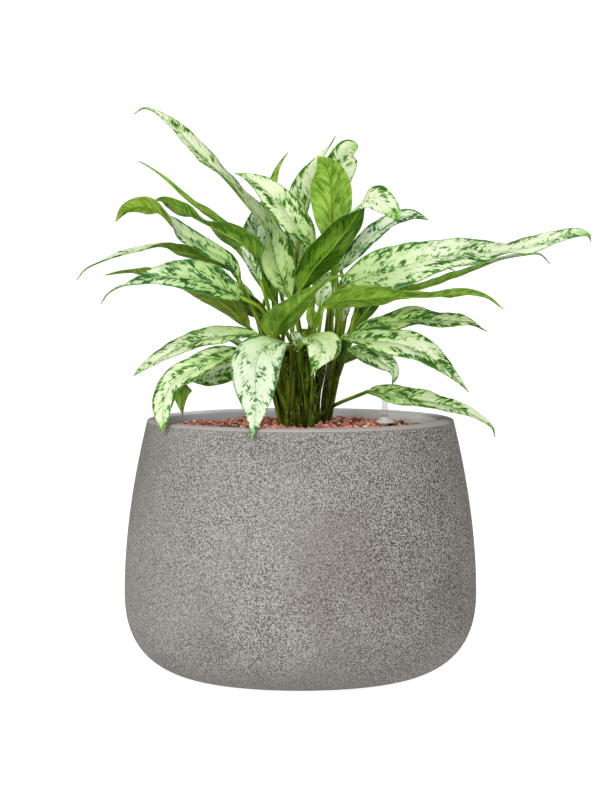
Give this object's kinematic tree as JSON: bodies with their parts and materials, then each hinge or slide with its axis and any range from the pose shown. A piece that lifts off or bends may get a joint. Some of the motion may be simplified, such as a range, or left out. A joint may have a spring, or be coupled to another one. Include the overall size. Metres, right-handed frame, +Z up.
{
  "type": "potted chinese evergreen",
  "caption": "Bushy silver queen chinese evergreen with arching, pointed, silver-variegated leaves, standing in clay granules in a round, wide-bellied stone-look planter.",
  "frame": {"origin": "centre of the planter's flat underside", "axes": "+Z up along the planter's axis; -Y is the side that the picture shows; +X is its right"},
  "size_m": [0.5845, 0.402, 0.6559],
  "materials": {
    "planter": "matt light grey and taupe speckle with a smooth paler rim",
    "granules": "rough fired clay pebbles",
    "cane": "smooth olive green stem",
    "leaf": "satin silver green blotched with dark green, plain green underneath",
    "gauge_clear": "clear and glossy",
    "gauge_float": "opaque red"
  },
  "bodies": {
    "root": {"cane_back_left": "cane", "cane_back_right": "cane", "cane_front_left": "cane", "cane_front_middle": "cane", "cane_left": "cane", "cane_middle": "cane", "cane_middle_right": "cane", "cane_right": "cane", "gauge_cap": "gauge_clear", "gauge_collar": "gauge_clear", "gauge_float": "gauge_float", "gauge_tube": "gauge_clear", "granules": "granules", "leaf_back_droop": "leaf", "leaf_back_left_arch": "leaf", "leaf_back_left_dark": "leaf", "leaf_back_left_low": "leaf", "leaf_back_middle": "leaf", "leaf_back_right_arch": "leaf", "leaf_back_right_dark": "leaf", "leaf_back_right_low": "leaf", "leaf_back_right_up": "leaf", "leaf_back_up": "leaf", "leaf_front_droop": "leaf", "leaf_front_green": "leaf", "leaf_front_narrow": "leaf", "leaf_front_small": "leaf", "leaf_front_tiny": "leaf", "leaf_front_upright": "leaf", "leaf_left_behind": "leaf", "leaf_left_big": "leaf", "leaf_left_curled": "leaf", "leaf_left_dark": "leaf", "leaf_left_front_broad": "leaf", "leaf_left_front_droop": "leaf", "leaf_left_long": "leaf", "leaf_left_low": "leaf", "leaf_left_olive": "leaf", "leaf_left_small": "leaf", "leaf_left_thin": "leaf", "leaf_left_top": "leaf", "leaf_middle_bright": "leaf", "leaf_middle_dark": "leaf", "leaf_middle_folded": "leaf", "leaf_middle_left": "leaf", "leaf_middle_top": "leaf", "leaf_right_behind": "leaf", "leaf_right_droop": "leaf", "leaf_right_green": "leaf", "leaf_right_hook": "leaf", "leaf_right_largest": "leaf", "leaf_right_low": "leaf", "leaf_right_middle": "leaf", "leaf_right_thin": "leaf", "leaf_right_under": "leaf", "leaf_spike": "leaf", "planter": "planter"}
  },
  "joints": []
}
